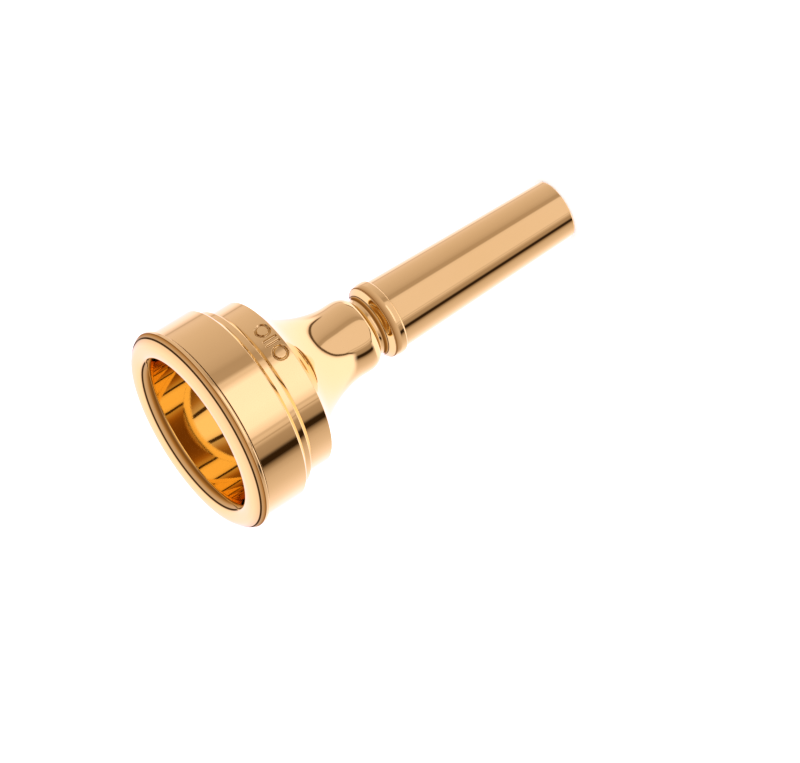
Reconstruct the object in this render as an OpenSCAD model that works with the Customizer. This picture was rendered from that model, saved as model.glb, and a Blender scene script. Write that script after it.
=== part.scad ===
// Brass mouthpiece in three turned pieces: shank, cup and screw rim.
// The turning axis is Z, the flat small end stands at z = 0, and the cup opens upwards.

/* [Shank] */
// outside radius at the flat small end, just above the broken edge
tip_r = 6.65; // [6.2:0.05:7.0]
// length of the tapered part that goes into the receiver
taper_len = 45.3; // [38:0.1:50]
// taper on the diameter, millimetres per millimetre
taper_rate = 0.0533; // [0.03:0.0005:0.07]
// radius of the bead above the taper
bead_r = 8.5; // [8.1:0.05:9.2]
// radius of the waist between the bead and the neck
waist_r = 6.35; // [6.1:0.05:7.0]
// radius of the air passage at the small end
exit_r = 5.6; // [5.0:0.05:5.9]

/* [Cup] */
// radius of the narrowest place in the air passage
throat_r = 4.15; // [3.6:0.05:4.4]
// radius of the neck
neck_r = 8.25; // [7.9:0.05:8.8]
// radius of the band that carries the engraving
band_r = 19.03; // [18:0.05:20]
// height of the band's lower edge above the small end
band_low = 73.0; // [71:0.1:75]
// height of the band's upper edge
band_top = 78.35; // [77.5:0.05:79]
// radius of the shoulder that the screw rim seats on
shoulder_r = 20.45; // [20:0.05:21]

/* [Screw rim] */
// radius of the rim's body
body_r = 22.05; // [21:0.05:23]
// radius of the flange around the face
flange_r = 22.95; // [22.2:0.05:24]
// height of the flange's lower corner
flange_low = 91.7; // [89:0.1:91.8]
// inside radius of the rim where the lips meet the cup
bite_r = 16.8; // [16:0.05:17]
// radius of the rim's highest circle
crown_r = 19.9; // [19.2:0.05:20.3]
// overall length
overall = 94.8; // [94.4:0.1:96]

/* [Threads] */
// major radius of the thread on the shank's tenon
tenon_r = 6.0; // [5.8:0.05:6.2]
// pitch of the tenon's thread
tenon_pitch = 0.9; // [0.7:0.05:1.2]
// major radius of the thread under the screw rim
spigot_r = 18.6; // [18:0.05:19]
// pitch of the screw rim's thread
rim_pitch = 1.0; // [0.8:0.05:1.3]
// radial gap between each thread and its mate
thread_gap = 0.06; // [0.02:0.01:0.1]
// depth of the thread's grooves
thread_depth = 0.4; // [0.2:0.05:0.5]

/* [Hidden] */
seat_1 = 51.6; // plane where the cup's neck sits on the shank
seat_2 = 80.9; // plane where the screw rim sits on the cup's shoulder
tenon_top = seat_1 + 8.2;
spigot_top = seat_2 + 11.1;
taper_r = tip_r + taper_len * taper_rate / 2;
collar = [0.93, 0.72, 0.42];
$fn = 96;

// outline of n V grooves cut into a crest of radius rc, from z0 upwards; dr is positive outwards
function grooves(rc, dr, z0, p, n) = [
    for (i = [0:n - 1])
        for (q = [[0, 0.08], [dr, 0.44], [dr, 0.56], [0, 0.92]])
            [rc + q[0], z0 + (i + q[1]) * p]
];

// points on a cubic curve with these control points
function bezier(a, b, c, d, n) = [
    for (i = [0:n])
        let (t = i / n)
            pow(1 - t, 3) * a + 3 * t * pow(1 - t, 2) * b + 3 * t * t * (1 - t) * c + pow(t, 3) * d
];

function reversed(v) = [for (i = [len(v) - 1:-1:0]) v[i]];

function tenon_rings() = grooves(tenon_r, -thread_depth, seat_1 + 0.9, tenon_pitch, 7);
function socket_rings() = grooves(tenon_r + thread_gap, thread_depth, seat_1 + 0.9, tenon_pitch, 7);
function spigot_rings() = grooves(spigot_r, -thread_depth, seat_2 + 1.0, rim_pitch, 6);
function skirt_rings() = grooves(spigot_r + thread_gap, thread_depth, seat_2 + 1.0, rim_pitch, 6);

// radius of the backbore at height z
function bore_r(z) = exit_r + (throat_r - exit_r) * z / 58;

module shank() {
    color(collar)
    rotate_extrude()
    polygon(concat(
        [[exit_r + 0.25, 0], [tip_r - 0.3, 0], [tip_r - 0.08, 0.08], [tip_r, 0.3]],
        [[taper_r, taper_len]],
        [[taper_r + 0.1, taper_len + 0.12], [bead_r - 0.32, taper_len + 0.3]],
        [[bead_r - 0.06, taper_len + 0.75], [bead_r, taper_len + 1.3], [bead_r, taper_len + 1.9]],
        [[bead_r - 0.1, taper_len + 2.45], [bead_r - 0.4, taper_len + 2.9]],
        [[7.5, taper_len + 3.4], [7.0, taper_len + 3.75], [6.6, taper_len + 4.2]],
        [[waist_r + 0.05, taper_len + 4.65], [waist_r, taper_len + 5.1]],
        [[waist_r + 0.08, taper_len + 5.6], [waist_r + 0.3, seat_1 - 0.25]],
        [[waist_r + 0.4, seat_1], [tenon_r - 0.3, seat_1], [tenon_r - 0.3, seat_1 + 0.6]],
        [[tenon_r, seat_1 + 0.9]],
        tenon_rings(),
        [[tenon_r, tenon_top - 0.5], [tenon_r - 0.4, tenon_top], [throat_r, tenon_top]],
        [[throat_r, 58], [bore_r(29), 29], [exit_r, 0.25]]
    ));
}

module cup() {
    color(collar)
    rotate_extrude()
    polygon(concat(
        [[tenon_r + thread_gap + 0.2, seat_1], [neck_r - 0.85, seat_1]],
        [[neck_r - 0.7, seat_1 + 0.25], [neck_r - 0.4, seat_1 + 0.8], [neck_r - 0.12, seat_1 + 1.5]],
        [[neck_r, seat_1 + 2.4], [neck_r, 57], [8.4, 58.3], [8.7, 59.8], [9.1, 61.3]],
        [[9.6, 62.8], [10.15, 64.2], [10.85, 65.6], [11.7, 67.0], [12.8, 68.4]],
        [[14.1, 69.8], [15.4, 71.0], [16.9, 72.1], [18.0, 72.8]],
        [[band_r - 0.5, band_low], [band_r - 0.1, band_low + 0.1], [band_r, band_low + 0.4]],
        [[band_r, band_top], [band_r + 0.25, band_top + 0.02]],
        [[shoulder_r - 0.08, band_top + 1.02], [shoulder_r, band_top + 1.2]],
        [[shoulder_r, seat_2 - 0.12], [shoulder_r - 0.12, seat_2]],
        [[spigot_r - 0.3, seat_2], [spigot_r - 0.3, seat_2 + 0.7], [spigot_r, seat_2 + 1.0]],
        spigot_rings(),
        [[spigot_r, spigot_top - 0.8], [spigot_r - 0.5, spigot_top - 0.3], [spigot_r - 0.9, spigot_top - 0.05]],
        bezier([bite_r, spigot_top - 0.05], [bite_r - 0.4, 72.5], [7.2, 72.9], [throat_r, 60.5], 24),
        [[throat_r, tenon_top + 0.05]],
        [[tenon_r + thread_gap, tenon_top + 0.05]],
        reversed(socket_rings()),
        [[tenon_r + thread_gap, seat_1 + 0.5]]
    ));
}

module screw_rim() {
    color(collar)
    rotate_extrude()
    polygon(concat(
        [[spigot_r + thread_gap + 0.2, seat_2], [body_r - 1.05, seat_2]],
        [[body_r - 0.08, seat_2 + 0.87], [body_r, seat_2 + 1.05]],
        [[body_r, flange_low - 0.5], [body_r - 0.3, flange_low - 0.35], [body_r - 0.3, flange_low - 0.05]],
        [[flange_r - 0.1, flange_low], [flange_r, flange_low + 0.12], [flange_r, flange_low + 0.35]],
        [[flange_r - 0.1, flange_low + 0.7], [flange_r - 0.45, flange_low + 1.55]],
        bezier([22.2, overall - 1.2], [21.5, overall - 0.55], [20.9, overall], [crown_r, overall], 12),
        bezier([crown_r - 0.1, overall], [19.1, overall], [18.5, overall - 0.05], [17.97, overall - 0.54], 8),
        bezier([17.7, overall - 0.85], [17.4, overall - 1.35], [bite_r + 0.12, overall - 1.9],
            [bite_r, spigot_top + 0.1], 8),
        [[spigot_r + thread_gap - 0.9, spigot_top + 0.1]],
        [[spigot_r + thread_gap, spigot_top - 0.6]],
        reversed(skirt_rings()),
        [[spigot_r + thread_gap, seat_2 + 0.5]]
    ));
}

shank();
cup();
screw_rim();
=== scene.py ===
"""Looks of the brass mouthpiece: three gold-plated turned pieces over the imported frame."""
import math

import bpy
from mathutils import Matrix, Vector


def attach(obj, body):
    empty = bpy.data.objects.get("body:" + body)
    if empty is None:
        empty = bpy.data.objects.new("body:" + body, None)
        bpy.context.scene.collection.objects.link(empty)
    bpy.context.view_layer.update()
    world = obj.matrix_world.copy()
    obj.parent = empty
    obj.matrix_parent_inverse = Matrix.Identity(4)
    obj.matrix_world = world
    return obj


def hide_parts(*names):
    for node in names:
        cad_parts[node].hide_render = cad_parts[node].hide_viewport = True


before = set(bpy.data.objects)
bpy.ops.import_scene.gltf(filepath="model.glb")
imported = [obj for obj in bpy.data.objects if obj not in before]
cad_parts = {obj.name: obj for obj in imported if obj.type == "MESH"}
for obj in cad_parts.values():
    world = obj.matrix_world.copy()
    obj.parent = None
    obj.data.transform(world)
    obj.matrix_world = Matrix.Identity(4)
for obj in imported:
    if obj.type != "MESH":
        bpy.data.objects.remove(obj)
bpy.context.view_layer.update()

MM = 0.001
SEGMENTS = 224  # steps around each turned piece

# Sizes in millimetres, as in the CAD: radii (_R), heights above the small end, and lengths.
TIP_R, TAPER_R, TAPER_LEN = 6.65, 7.857, 45.3
BEAD_R, WAIST_R = 8.5, 6.35
EXIT_R, THROAT_R = 5.6, 4.15
NECK_R = 8.25
BAND_R, BAND_LOW, BAND_TOP = 19.03, 73.0, 78.35
SHOULDER_R = 20.45
BODY_R, FLANGE_R, FLANGE_LOW = 22.05, 22.95, 91.7
BITE_R, CROWN_R, OVERALL = 16.8, 19.9, 94.8
SEAT_1, SEAT_2 = 51.6, 80.9  # where the cup sits on the shank, and the screw rim on the cup
TENON_R, TENON_PITCH, TENON_TOP = 6.0, 0.9, SEAT_1 + 8.2
SPIGOT_R, RIM_PITCH, SPIGOT_TOP = 18.6, 1.0, 92.0
THREAD_GAP, THREAD_DEPTH = 0.06, 0.4
THREAD_END = SEAT_2 + 7.5
BOWL = ((BITE_R, SPIGOT_TOP), (16.4, 72.5), (7.2, 72.9), (THROAT_R, 60.5))  # control points of its curve


# ------------------------------------------------------------------ outlines
# An outline is a run of corners (radius, height, fillet) in millimetres.

def filleted(corners, step=7.0):
    """The run with each corner turned into an arc of its fillet's radius, as far as its sides allow."""
    out = []
    n = len(corners)
    for i, (r, z, fillet) in enumerate(corners):
        here = Vector((r, z))
        before = Vector(corners[i - 1][:2]) - here
        after = Vector(corners[(i + 1) % n][:2]) - here
        bend = math.pi - before.angle(after)
        if fillet <= 0 or bend < math.radians(1.0):
            out.append((r, z))
            continue
        reach = min(fillet * math.tan(bend / 2), before.length * 0.49, after.length * 0.49)
        a, b = here + before.normalized() * reach, here + after.normalized() * reach
        count = max(2, round(math.degrees(bend) / step))
        for k in range(count + 1):
            t = k / count
            out.append(tuple(a.lerp(here, t).lerp(here.lerp(b, t), t)))
    return out


def bezier(a, b, c, d, steps=56):
    """Corners on the cubic curve with these control points."""
    out = []
    for k in range(steps + 1):
        t = k / steps
        w = ((1 - t) ** 3, 3 * t * (1 - t) ** 2, 3 * t * t * (1 - t), t ** 3)
        out.append((*(sum(w[i] * p[axis] for i, p in enumerate((a, b, c, d))) for axis in (0, 1)), 0.0))
    return out


def curve(points, steps=4):
    """Corners on a smooth curve through the points, with both ends kept."""
    p = [Vector(q) for q in points]
    p = [p[0] * 2 - p[1]] + p + [p[-1] * 2 - p[-2]]
    out = []
    for a, b, c, d in zip(p, p[1:], p[2:], p[3:]):
        for k in range(steps):
            t = k / steps
            q = 0.5 * (2 * b + (c - a) * t + (2 * a - 5 * b + 4 * c - d) * t ** 2
                       + (3 * b - a - 3 * c + d) * t ** 3)
            out.append((q.x, q.y, 0.0))
    return out + [(p[-2].x, p[-2].y, 0.0)]


# ------------------------------------------------------------------ turning
class Ring:
    """One circle of a turned piece. cut(turn, height) gives how much it departs from round, in mm."""

    def __init__(self, r, z, cut=None, turns=None):
        self.r, self.z, self.cut = r, z, cut
        self.turns = turns or ROUND

    def points(self):
        for t in self.turns:
            r = self.r + (self.cut(t, self.z) if self.cut else 0.0)
            yield Vector((r * math.cos(t), r * math.sin(t), self.z)) * MM


ROUND = [math.tau * i / SEGMENTS for i in range(SEGMENTS)]


def turned(name, rings):
    """A closed mesh through the rings in order, the last one joined to the first."""
    verts, starts = [], []
    for ring in rings:
        starts.append(len(verts))
        verts.extend(ring.points())
    faces = []
    for i, ring in enumerate(rings):
        j = (i + 1) % len(rings)
        faces.extend(strip(ring.turns, starts[i], rings[j].turns, starts[j]))
    mesh = bpy.data.meshes.new(name)
    mesh.from_pydata(verts, [], faces)
    mesh.validate()
    mesh.shade_smooth()
    mesh.set_sharp_from_angle(angle=math.radians(30))
    obj = bpy.data.objects.new(name, mesh)
    bpy.context.scene.collection.objects.link(obj)
    return obj


def strip(low, low_start, high, high_start):
    """Faces between two rings. Where one has more points than the other, they share its longer faces."""
    coarse = low if len(low) <= len(high) else high
    at_low = {t: k for k, t in enumerate(low)}
    at_high = {t: k for k, t in enumerate(high)}
    for i, t in enumerate(coarse):
        u = coarse[(i + 1) % len(coarse)]
        bottom = span(at_low[t], at_low[u], len(low))
        top = span(at_high[t], at_high[u], len(high))
        yield [low_start + k for k in bottom] + [high_start + k for k in reversed(top)]


def span(a, b, n):
    """Indices from a to b, going round a ring of n."""
    return [(a + k) % n for k in range((b - a) % n + 1)]


def plain(corners):
    """Round rings along a run of corners, whose two ends stay as they are."""
    first, *between, last = corners
    loop = [(*first[:2], 0.0), *between, (*last[:2], 0.0)]
    return [Ring(r, z) for r, z in filleted(loop)]


def thread(crest, depth, pitch, low, high):
    """Rings of a helical V thread between two heights. depth is positive outwards. It fades in and out."""
    fade = 0.7 * pitch

    def cut(turn, height):
        phase = (height / pitch - turn / math.tau) % 1.0
        groove = max(0.0, 1.0 - abs(phase - 0.5) / 0.42)
        ends = min(1.0, (height - low) / fade, (high - height) / fade)
        return depth * min(groove * 1.15, 1.0) * max(0.0, ends)

    count = round((high - low) / pitch * 8)
    return [Ring(crest, low + (high - low) * i / count, cut) for i in range(count + 1)]


# ------------------------------------------------------------------ engraving
MARK_TURN, MARK_Z = math.radians(-67), 75.2  # middle of the mark, around the axis and along it
MARK_HALF = 5.2  # half its length along the band
MARK_DEPTH = 0.32
LINE = 0.3  # half width of an engraved line
TALL = 1.45  # radius of the rings and half the height of the bars
RINGS, BARS = (-3.1, 3.1), (-0.6, 0.6)  # where they are along the mark


def mark_depth(turn, height):
    """How far the mark cuts into the band: two rings and two bars, cut with a round graver."""
    s = (turn - MARK_TURN + math.pi) % math.tau - math.pi
    s *= BAND_R
    h = height - MARK_Z
    rings = [abs(math.hypot(s - c, h) - TALL) for c in RINGS]
    bars = [math.hypot(s - c, max(0.0, abs(h) - TALL)) for c in BARS]
    near = min(rings + bars)
    return -MARK_DEPTH * max(0.0, 1.0 - (near / LINE) ** 2)


def band_turns(count=130):
    """The round's turns with many more where the mark is."""
    half = MARK_HALF / BAND_R
    fine = [MARK_TURN + half * (2 * i / count - 1) for i in range(count + 1)]
    return sorted(set(ROUND) | {t % math.tau for t in fine})


def engraved_band(low, high, steps=36):
    turns = band_turns()
    rows = [Ring(BAND_R, low)]
    for i in range(1, steps):
        rows.append(Ring(BAND_R, low + (high - low) * i / steps, mark_depth, turns))
    return rows + [Ring(BAND_R, high)]


# ------------------------------------------------------------------ pieces
def make_shank():
    top = TAPER_LEN
    outside = plain([
        (EXIT_R + 0.25, 0.0, 0.1), (TIP_R, 0.0, 0.35), (TAPER_R, top, 0.12),
        (BEAD_R, top + 0.25, 0.5), (BEAD_R + 0.02, top + 1.6, 3.0), (BEAD_R - 0.3, top + 2.95, 0.6),
        (7.5, top + 3.45, 0.8), (6.75, top + 4.0, 1.5), (WAIST_R, top + 4.9, 1.5),
        (WAIST_R + 0.05, top + 5.6, 0.6), (WAIST_R + 0.4, SEAT_1, 0.0),
        (TENON_R - 0.3, SEAT_1, 0.1), (TENON_R - 0.3, SEAT_1 + 0.6, 0.1), (TENON_R, SEAT_1 + 0.85, 0.0)])
    screw = thread(TENON_R, -THREAD_DEPTH, TENON_PITCH, SEAT_1 + 0.9, TENON_TOP - 0.55)
    inside = plain([
        (TENON_R, TENON_TOP - 0.5, 0.1), (TENON_R - 0.4, TENON_TOP, 0.15), (THROAT_R, TENON_TOP, 0.1),
        (THROAT_R, 58.0, 20.0), (EXIT_R - 0.05, 0.25, 0.1)])
    return turned("shank_turned", outside + screw + inside)


def make_cup():
    flare = curve([
        (NECK_R - 0.12, SEAT_1 + 1.5), (NECK_R, SEAT_1 + 2.6), (NECK_R, 56.6), (8.42, 58.3), (8.72, 59.8),
        (9.12, 61.3), (9.62, 62.8), (10.2, 64.2), (10.9, 65.6), (11.75, 67.0), (12.8, 68.4),
        (14.05, 69.8), (15.4, 71.0), (16.9, 72.1), (17.9, 72.8)])
    outside = plain([
        (TENON_R + THREAD_GAP + 0.2, SEAT_1, 0.0), (NECK_R - 0.85, SEAT_1, 0.25),
        (NECK_R - 0.4, SEAT_1 + 0.75, 0.8), *flare, (BAND_R - 0.5, BAND_LOW, 0.3), (BAND_R, BAND_LOW, 0.2),
        (BAND_R, BAND_LOW + 0.3, 0.0)])
    band = engraved_band(BAND_LOW + 0.35, BAND_TOP - 0.3)
    shoulder = plain([
        (BAND_R, BAND_TOP - 0.25, 0.0), (BAND_R, BAND_TOP, 0.05), (BAND_R + 0.25, BAND_TOP + 0.02, 0.1),
        (SHOULDER_R, BAND_TOP + 1.1, 0.25),
        (SHOULDER_R, SEAT_2 - 0.1, 0.1), (SHOULDER_R - 0.1, SEAT_2, 0.1), (SPIGOT_R - 0.3, SEAT_2, 0.1),
        (SPIGOT_R - 0.3, SEAT_2 + 0.7, 0.1), (SPIGOT_R, SEAT_2 + 0.95, 0.0)])
    spigot = thread(SPIGOT_R, -THREAD_DEPTH, RIM_PITCH, SEAT_2 + 1.0, THREAD_END)
    bowl = bezier(*BOWL)
    inside = plain([
        (SPIGOT_R, THREAD_END + 0.1, 0.0), (SPIGOT_R, SPIGOT_TOP - 0.8, 0.2),
        (SPIGOT_R - 0.5, SPIGOT_TOP - 0.3, 0.2), (SPIGOT_R - 0.9, SPIGOT_TOP, 0.1), *bowl,
        (THROAT_R, TENON_TOP + 0.05, 0.1), (TENON_R + THREAD_GAP, TENON_TOP + 0.05, 0.1),
        (TENON_R + THREAD_GAP, TENON_TOP - 0.2, 0.0)])
    socket = thread(TENON_R + THREAD_GAP, THREAD_DEPTH, TENON_PITCH, SEAT_1 + 0.9, TENON_TOP - 0.55)
    return turned("cup_turned", outside + band + shoulder + spigot + inside + socket[::-1])


def make_rim():
    skirt = SPIGOT_R + THREAD_GAP
    outer = bezier((22.5, 93.25), (22.4, 93.37), (22.3, 93.49), (22.2, 93.6), 4)
    outer += bezier((22.2, 93.6), (21.5, 94.25), (20.9, OVERALL), (CROWN_R, OVERALL), 24)[1:]
    inner = bezier((CROWN_R, OVERALL), (19.1, OVERALL), (18.5, OVERALL - 0.05), (17.97, 94.26), 20)[1:]
    inner += bezier((17.7, 93.95), (17.32, 93.43), (BITE_R + 0.12, 92.9), (BITE_R, SPIGOT_TOP), 16)
    outside = plain([
        (skirt + 0.2, SEAT_2, 0.0), (BODY_R - 1.05, SEAT_2, 0.1), (BODY_R, SEAT_2 + 0.95, 0.3),
        (BODY_R, FLANGE_LOW - 0.5, 0.1), (BODY_R - 0.3, FLANGE_LOW - 0.35, 0.1),
        (BODY_R - 0.3, FLANGE_LOW - 0.1, 0.1), (FLANGE_R - 0.05, FLANGE_LOW, 0.1),
        (FLANGE_R, FLANGE_LOW + 0.25, 0.3), (FLANGE_R - 0.03, FLANGE_LOW + 0.85, 0.7),
        *outer, *inner, (BITE_R - 0.05, SPIGOT_TOP, 0.0), (skirt - 0.9, SPIGOT_TOP, 0.3),
        (skirt, SPIGOT_TOP - 0.7, 0.2), (skirt, THREAD_END + 0.1, 0.0)])
    screw = thread(skirt, THREAD_DEPTH, RIM_PITCH, SEAT_2 + 1.0, THREAD_END)
    return turned("screw_rim_turned", outside + screw[::-1])


# ------------------------------------------------------------------ shader nodes
def node(tree, kind, **values):
    """A shader node with its settings and input values."""
    made = tree.nodes.new(kind)
    for key, value in values.items():
        if hasattr(made, key) and key not in made.inputs:
            setattr(made, key, value)
        else:
            made.inputs[key.replace("_", " ")].default_value = value
    return made


def feed(tree, socket, value):
    """Give a socket the output of another node, or a constant."""
    if isinstance(value, bpy.types.NodeSocket):
        tree.links.new(value, socket)
    else:
        socket.default_value = value


def ranged(tree, value, low, high, kind="LINEAR", to=(0.0, 1.0)):
    """The first of to where the value is low, the second where it is high, and kept between them."""
    made = node(tree, "ShaderNodeMapRange", interpolation_type=kind)
    for name, number in zip(("From Min", "From Max", "To Min", "To Max"), (low, high, *to)):
        made.inputs[name].default_value = number
    feed(tree, made.inputs["Value"], value)
    return made.outputs["Result"]


def ramp(tree, value, stops):
    """Colours at values: stops is a list of (value, colour) from one end to the other."""
    low, high = stops[0][0], stops[-1][0]
    made = node(tree, "ShaderNodeValToRGB")
    elements = made.color_ramp.elements
    for at, colour in stops[1:-1]:
        elements.new((at - low) / (high - low)).color = colour
    elements[0].color = stops[0][1]
    elements[-1].color = stops[-1][1]
    feed(tree, made.inputs["Fac"], ranged(tree, value, low, high))
    return made.outputs["Color"]


def mixed(tree, factor, a, b):
    """Colour a where the factor is 0 and b where it is 1."""
    made = node(tree, "ShaderNodeMix", data_type="RGBA")
    for name, value in (("Factor", factor), ("A", a), ("B", b)):
        feed(tree, made.inputs[name], value)
    return made.outputs["Result"]


def maths(tree, operation, *values):
    made = node(tree, "ShaderNodeMath", operation=operation)
    for socket, value in zip(made.inputs, values):
        feed(tree, socket, value)
    return made.outputs[0]


def vector_maths(tree, operation, output, *values):
    made = node(tree, "ShaderNodeVectorMath", operation=operation)
    for socket, value in zip(made.inputs, values):
        feed(tree, socket, value)
    return made.outputs[output]


def parts_of(tree, vector):
    made = node(tree, "ShaderNodeSeparateXYZ")
    feed(tree, made.inputs["Vector"], vector)
    return made.outputs


def bearing_of(tree, vector):
    """The vector's bearing in radians: 0 is the front, -Y, and positive is towards +X."""
    parts = parts_of(tree, vector)
    return maths(tree, "ARCTAN2", parts["X"], maths(tree, "MULTIPLY", parts["Y"], -1.0))


# ------------------------------------------------------------------ material
# painted shade: the dark brown the plate's colour turns to in tight corners
PAINTED_SHADE = (0.16, 0.07, 0.015, 1)
CORNER = 0.8 * MM  # how far the painted shade reaches out of a corner


def gold_plate():
    """Polished gold plate over turned brass, with painted shade darkening its tight corners."""
    mat = bpy.data.materials.new("gold_plate")
    mat.use_nodes = True
    tree = mat.node_tree
    shader = tree.nodes["Principled BSDF"]
    shader.inputs["Metallic"].default_value = 1.0
    place = node(tree, "ShaderNodeTexCoord").outputs["Object"]

    tone = node(tree, "ShaderNodeTexNoise", Scale=55.0, Detail=3.0, Roughness=0.55)
    feed(tree, tone.inputs["Vector"], place)
    colour = ramp(tree, tone.outputs["Fac"], [(0.0, (0.905, 0.69, 0.27, 1)), (1.0, (0.93, 0.73, 0.31, 1))])

    # painted shade: the plate's colour turns dark brown in tight corners, by how closed in they are
    corner = node(tree, "ShaderNodeAmbientOcclusion", only_local=True, samples=6)
    corner.inputs["Distance"].default_value = CORNER
    unshaded = ranged(tree, corner.outputs["AO"], 0.35, 0.85, "SMOOTHSTEP")
    feed(tree, shader.inputs["Base Color"], mixed(tree, unshaded, PAINTED_SHADE, colour))

    haze = node(tree, "ShaderNodeTexNoise", Scale=130.0, Detail=5.0, Roughness=0.6)
    feed(tree, haze.inputs["Vector"], place)
    feed(tree, shader.inputs["Roughness"], ranged(tree, haze.outputs["Fac"], 0.35, 0.75, to=(0.025, 0.05)))

    # turning marks: noise that changes along the axis and hardly around it
    squeeze = node(tree, "ShaderNodeMapping")
    squeeze.inputs["Scale"].default_value = (6.0, 6.0, 5200.0)
    feed(tree, squeeze.inputs["Vector"], place)
    marks = node(tree, "ShaderNodeTexNoise", Scale=1.0, Detail=2.0, Roughness=0.5)
    feed(tree, marks.inputs["Vector"], squeeze.outputs["Vector"])
    bump = node(tree, "ShaderNodeBump")
    bump.inputs["Strength"].default_value = 0.12
    bump.inputs["Distance"].default_value = 0.012 * MM
    feed(tree, bump.inputs["Height"], marks.outputs["Fac"])
    feed(tree, shader.inputs["Normal"], bump.outputs["Normal"])
    return mat


# ------------------------------------------------------------------ studio
# Levels of the surround at and below the horizon, by bearing in degrees: 0 is the front, -Y, and
# positive is towards +X.
SURROUND = [
    (-180, 1.35), (-145, 1.3), (-128, 1.05), (-106, 0.8), (-90, 0.68), (-82, 0.56), (-76, 0.3),
    (-72, 0.03), (-65, 0.03), (-61, 0.38), (-50, 0.46), (-46.5, 0.7), (-45, 0.5), (-43.5, 0.78),
    (-40, 0.82), (-38.5, 0.56), (-37, 0.88), (20, 0.88), (28, 0.84), (32, 0.48), (42, 0.47), (48, 0.56),
    (60, 0.63), (104, 0.76), (120, 0.84), (125, 0.82), (128, 0.62), (131, 0.9), (140, 1.2), (180, 1.35),
]

# Levels above the horizon, and how wooden they are, by the tilt in degrees of the polished surface that
# turns them to the front.
OVERHEAD = [
    (0, 1.22, 0.0), (30, 1.22, 0.0), (40, 1.12, 0.0), (45, 0.95, 0.0), (46.5, 0.06, 0.0),
    (51.5, 0.06, 0.0), (53, 0.66, 0.0), (58, 0.56, 0.4), (62, 0.42, 1.0), (66, 0.27, 1.0),
    (72, 0.18, 1.0), (76, 0.34, 0.6), (80, 0.66, 0.1), (90, 0.76, 0.0),
]
FRONT = (0.0, -math.cos(math.radians(17.8)), math.sin(math.radians(17.8)))
HORIZON = (-0.26, -0.12)  # heights of a direction between which the surround gives way to the overhead

# Levels of the paper below, by how far a direction is past the paper's edge: it starts with a dark line.
PAPER = [(0.0, 0.4), (0.02, 0.12), (0.05, 0.12), (0.075, 0.9), (0.12, 1.3), (0.2, 1.35)]
PAPER_ACROSS = (0.448, -0.768, 0.458)  # the edge runs across this direction
PAPER_EDGE = -0.09  # and a direction on the edge has this much of it
PAPER_FADE = (-0.08, -0.105)  # where the paper comes in, measured the same way
STEEP = (-0.5, -0.62)  # heights of a direction between which the paper comes in below


def glow(level, wood=0.0):
    """Light of one level: dim parts of the surround are warmer than bright ones, and wood warmer still."""
    green, blue = 0.86 * level ** 1.15, 1.07 * level ** 1.4
    return (1.07 * level, green * (1 - 0.3 * wood), blue * (1 - 0.7 * wood), 1)


def make_world():
    world = bpy.data.worlds.new("surround")
    bpy.context.scene.world = world
    world.use_nodes = True
    tree = world.node_tree
    tree.nodes.clear()
    direction = node(tree, "ShaderNodeTexCoord").outputs["Generated"]
    height = parts_of(tree, direction)["Z"]
    bands = ramp(tree, bearing_of(tree, direction),
                 [(math.radians(angle), glow(level)) for angle, level in SURROUND])

    # above the horizon: white, with a dark ring and a wooden front
    between = vector_maths(tree, "ADD", "Vector", direction, FRONT)
    facing = vector_maths(tree, "NORMALIZE", "Vector", between)
    tilt = maths(tree, "ARCCOSINE", parts_of(tree, facing)["Z"])
    dome = ramp(tree, tilt, [(math.radians(angle), glow(level, wood)) for angle, level, wood in OVERHEAD])
    around = mixed(tree, ranged(tree, height, *HORIZON, "SMOOTHSTEP"), bands, dome)

    # steeply below: the white paper, whose edge the neck mirrors
    along = vector_maths(tree, "DOT_PRODUCT", "Value", direction, PAPER_ACROSS)
    paper = ramp(tree, along, [(PAPER_EDGE - past, glow(level)) for past, level in PAPER])
    on_paper = maths(tree, "MULTIPLY", ranged(tree, along, *PAPER_FADE, "SMOOTHSTEP"),
                     ranged(tree, height, *STEEP, "SMOOTHSTEP"))
    mirrored = mixed(tree, on_paper, around, paper)

    # only the plate mirrors the surround: the background and the light on the floor are plain white
    seen = node(tree, "ShaderNodeLightPath").outputs
    plain_white = maths(tree, "MAXIMUM", seen["Is Camera Ray"], seen["Is Diffuse Ray"])
    back = node(tree, "ShaderNodeBackground")
    feed(tree, back.inputs["Color"], mixed(tree, plain_white, mirrored, (1.0, 1.0, 1.0, 1)))
    out = node(tree, "ShaderNodeOutputWorld")
    feed(tree, out.inputs["Surface"], back.outputs["Background"])


def sheet(name, material, corners):
    """A flat sheet through four corners, and its material's nodes."""
    mesh = bpy.data.meshes.new(name)
    mesh.from_pydata(corners, [], [(0, 1, 2, 3)])
    obj = bpy.data.objects.new(name, mesh)
    bpy.context.scene.collection.objects.link(obj)
    mat = bpy.data.materials.new(material)
    mat.use_nodes = True
    mesh.materials.append(mat)
    return obj, mat.node_tree


def make_floor(half=4.0):
    corners = [(-half, -half, 0), (half, -half, 0), (half, half, 0), (-half, half, 0)]
    floor, tree = sheet("floor", "paper", corners)
    paper = tree.nodes["Principled BSDF"].inputs
    paper["Base Color"].default_value = (0.93, 0.93, 0.93, 1)
    paper["Roughness"].default_value = 0.9
    paper["Specular IOR Level"].default_value = 0.0
    floor.visible_glossy = False


CARD_NEAR, CARD_FAR, CARD_HEIGHT = 0.205, 0.5, 0.001  # metres from the axis and above the floor
CARD_LEFT, CARD_RIGHT = math.radians(-38), math.radians(24)  # bearings of its sides
CARD_FADE = [(0.0, 0.0), (0.2, 0.9), (0.42, 1.0), (0.88, 0.9), (1.0, 0.0)]  # across it, from the left
CARD_LEVEL = 1.32


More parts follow.
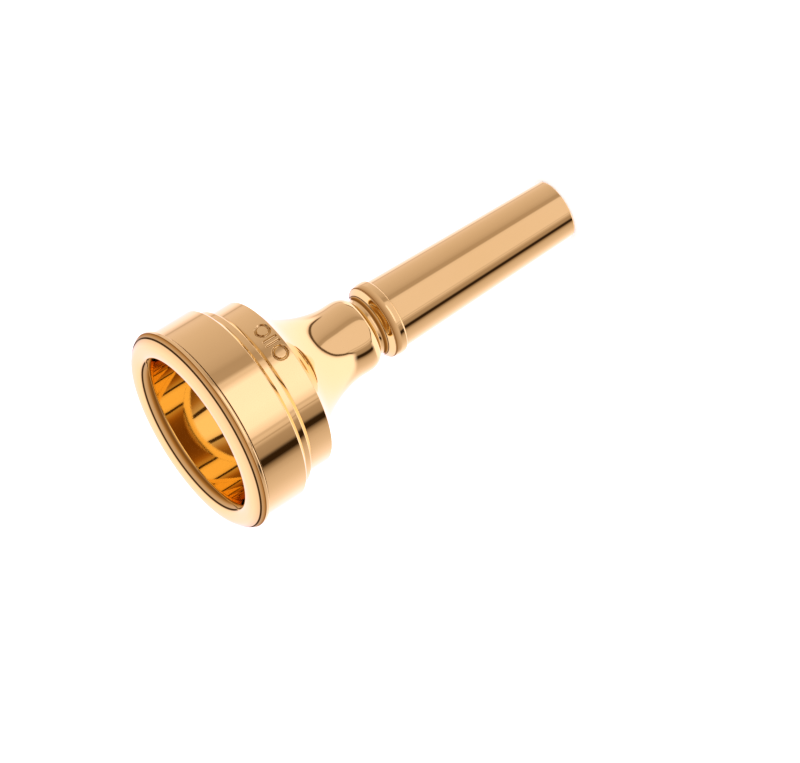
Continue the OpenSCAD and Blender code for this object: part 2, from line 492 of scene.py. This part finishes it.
def make_card():
    """A lit card lying in front: only the cup's and the rim's walls mirror it."""
    spots = ((CARD_NEAR, CARD_LEFT), (CARD_NEAR, CARD_RIGHT), (CARD_FAR, CARD_RIGHT), (CARD_FAR, CARD_LEFT))
    corners = [(away * math.sin(b), -away * math.cos(b), CARD_HEIGHT) for away, b in spots]
    card, tree = sheet("card", "lit_card", corners)
    tree.nodes.clear()
    place = node(tree, "ShaderNodeTexCoord").outputs["Object"]
    width = CARD_RIGHT - CARD_LEFT
    fade = ramp(tree, bearing_of(tree, place),
                [(CARD_LEFT + width * at, (level, level, level, 1)) for at, level in CARD_FADE])
    clear = node(tree, "ShaderNodeBsdfTransparent")
    light = node(tree, "ShaderNodeEmission")
    light.inputs["Color"].default_value = glow(CARD_LEVEL)
    mix = node(tree, "ShaderNodeMixShader")
    out = node(tree, "ShaderNodeOutputMaterial")
    feed(tree, mix.inputs["Fac"], fade)
    feed(tree, mix.inputs[1], clear.outputs["BSDF"])
    feed(tree, mix.inputs[2], light.outputs["Emission"])
    feed(tree, out.inputs["Surface"], mix.outputs["Shader"])
    card.visible_camera = False
    card.visible_diffuse = False
    card.visible_shadow = False


def make_lamp():
    lamp = bpy.data.lights.new("overhead", "SUN")
    lamp.energy = 2.2
    lamp.angle = math.radians(120)
    obj = bpy.data.objects.new("overhead", lamp)
    obj.visible_glossy = False
    bpy.context.scene.collection.objects.link(obj)


# ------------------------------------------------------------------ camera
VIEW_DOWN = math.radians(20.24)  # how far the view looks down
VIEW_ROLL = math.radians(32.2)  # the axis in the picture, above the horizontal
BITE_Z = 93.5  # height of the bite's centre
DISTANCE = 984.6  # from the bite's centre to the camera, along the view
OFFSET = (-41.6, 10.5)  # the bite's centre from the view's middle: right, and down
FOCAL = 217.8  # for a sensor 36 mm wide


def make_camera():
    c, s = math.cos(VIEW_DOWN), math.sin(VIEW_DOWN)
    cr, sr = math.cos(VIEW_ROLL), math.sin(VIEW_ROLL)
    ahead = Vector((0, c, -s))
    right = Vector((-sr, -cr * s, -cr * c))
    up = Vector((cr, -sr * s, -sr * c))
    bite = Vector((0, 0, BITE_Z))
    place = bite - right * OFFSET[0] + up * OFFSET[1] - ahead * DISTANCE
    cam = bpy.data.cameras.new("camera")
    cam.lens = FOCAL
    cam.sensor_width = 36
    cam.clip_start, cam.clip_end = 0.05, 20
    obj = bpy.data.objects.new("camera", cam)
    axes = Matrix((right, up, -ahead)).transposed().to_4x4()
    obj.matrix_world = Matrix.Translation(place * MM) @ axes
    bpy.context.scene.collection.objects.link(obj)
    bpy.context.scene.camera = obj


PLATE = gold_plate()
for body, make in (("shank", make_shank), ("cup", make_cup), ("screw_rim", make_rim)):
    piece = make()
    piece.data.materials.append(PLATE)
    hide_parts(body)
    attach(piece, body)

make_world()
make_floor()
make_card()
make_lamp()
make_camera()
bpy.context.scene.view_settings.view_transform = "Standard"
bpy.context.scene.cycles.glossy_bounces = 12
